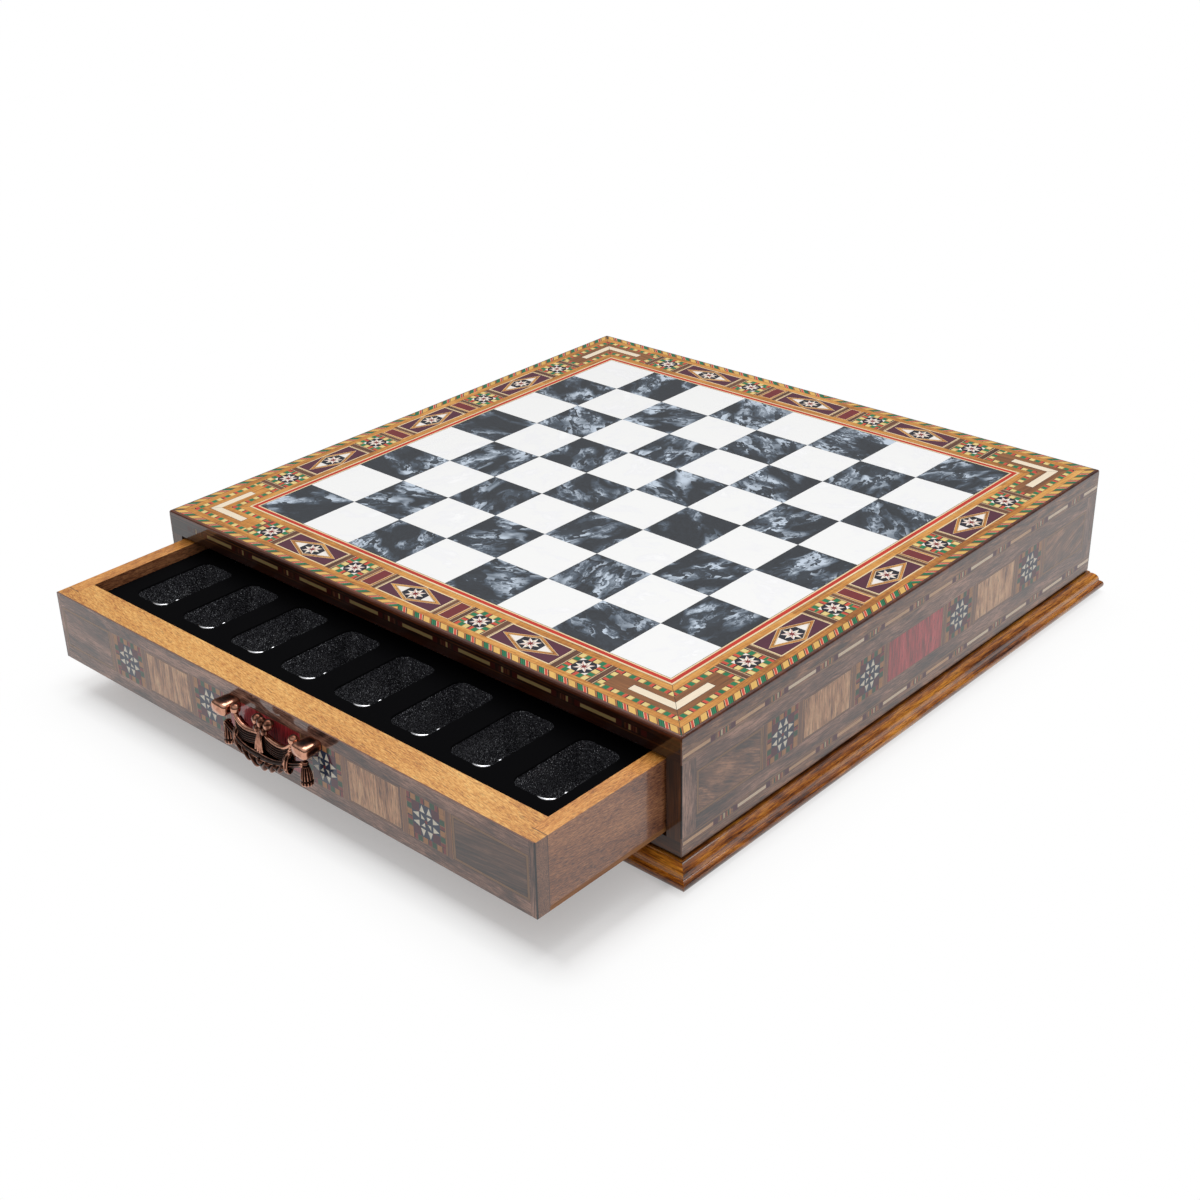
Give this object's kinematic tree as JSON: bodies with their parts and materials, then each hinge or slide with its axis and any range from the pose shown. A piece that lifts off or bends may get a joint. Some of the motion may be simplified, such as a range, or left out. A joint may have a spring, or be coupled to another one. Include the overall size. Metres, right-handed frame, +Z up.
{
  "type": "chess box",
  "caption": "Low square chess box: a marquetry playing board on a moulded base, with opposed drawers that slide out and hold pocketed trays, each with a hinged swag handle",
  "frame": {"origin": "centre of the underside of the box, on the felt", "axes": "+Z up, out of the playing surface; -Y out of the front drawer, the open one; +X to the right as seen from the front"},
  "size_m": [0.3932, 0.4882, 0.079],
  "materials": {
    "carcass_wood": "satin",
    "panel_board": "plain",
    "base_felt": "felt",
    "runner_wood": "plain",
    "moulding_wood": "gloss",
    "bead_wood": "gloss",
    "border_veneer": "gloss",
    "block_strip": "gloss",
    "pale_line": "gloss",
    "red_line": "gloss",
    "light_square": "gloss",
    "dark_square": "gloss",
    "rosette": "gloss",
    "diamond_ground": "gloss",
    "pale_inlay": "gloss",
    "red_block": "gloss",
    "case_veneer": "gloss",
    "star_tile": "gloss",
    "light_panel": "gloss",
    "red_panel": "gloss",
    "drawer_wood": "satin",
    "drawer_ply": "plain",
    "tray_flock": "flocked deck, glossy pockets",
    "handle_metal": "antique copper",
    "screw_steel": "plain"
  },
  "bodies": {
    "case": {"left_wall": "carcass_wood", "right_wall": "carcass_wood", "front_top_rail": "carcass_wood", "rear_top_rail": "carcass_wood", "front_bottom_rail": "carcass_wood", "rear_bottom_rail": "carcass_wood", "centre_partition": "panel_board", "top_board": "panel_board", "base_board": "panel_board", "base_felt": "base_felt", "drawer_runners": "runner_wood", "front_moulding": "moulding_wood", "rear_moulding": "moulding_wood", "left_moulding": "moulding_wood", "right_moulding": "moulding_wood", "edge_beads": "bead_wood", "border_veneer": "border_veneer", "block_strips": "block_strip", "pale_stringing": "pale_line", "red_stringing": "red_line", "light_squares": "light_square", "dark_squares": "dark_square", "rosette_tiles": "rosette", "diamond_panels": "diamond_ground", "pale_inlays": "pale_inlay", "red_blocks": "red_block", "left_veneer": "case_veneer", "right_veneer": "case_veneer", "front_veneer": "case_veneer", "rear_veneer": "case_veneer", "side_star_tiles": "star_tile", "side_light_panels": "light_panel", "side_red_panels": "red_panel", "side_pale_bars": "pale_inlay"},
    "front_drawer": {"front_drawer_face": "drawer_wood", "front_drawer_left_side": "drawer_wood", "front_drawer_right_side": "drawer_wood", "front_drawer_back": "drawer_wood", "front_drawer_bottom": "drawer_ply", "front_drawer_tray": "tray_flock", "front_drawer_veneer": "case_veneer", "front_drawer_star_tiles": "star_tile", "front_drawer_panels": "light_panel", "front_drawer_posts": "handle_metal", "front_drawer_screws": "screw_steel"},
    "rear_drawer": {"rear_drawer_face": "drawer_wood", "rear_drawer_left_side": "drawer_wood", "rear_drawer_right_side": "drawer_wood", "rear_drawer_back": "drawer_wood", "rear_drawer_bottom": "drawer_ply", "rear_drawer_tray": "tray_flock", "rear_drawer_veneer": "case_veneer", "rear_drawer_star_tiles": "star_tile", "rear_drawer_panels": "light_panel", "rear_drawer_posts": "handle_metal", "rear_drawer_screws": "screw_steel"},
    "front_bail": {"front_drawer_bail": "handle_metal"},
    "rear_bail": {"rear_drawer_bail": "handle_metal"}
  },
  "joints": [
    {"name": "front_drawer_slide", "type": "slide", "parent": "case", "child": "front_drawer", "axis": [0, -1, 0], "range_m": [-0.0846, 0.0554]},
    {"name": "rear_drawer_slide", "type": "slide", "parent": "case", "child": "rear_drawer", "axis": [0, 1, 0], "range_m": [0, 0.14]},
    {"name": "front_bail_hinge", "type": "hinge", "parent": "front_drawer", "child": "front_bail", "pos_m": [0.0058, -0.2796, 0.0547], "axis": [-1, 0, 0], "range_deg": [0, 80]},
    {"name": "rear_bail_hinge", "type": "hinge", "parent": "rear_drawer", "child": "rear_bail", "pos_m": [-0.0058, 0.195, 0.0547], "axis": [1, 0, 0], "range_deg": [0, 80]}
  ]
}
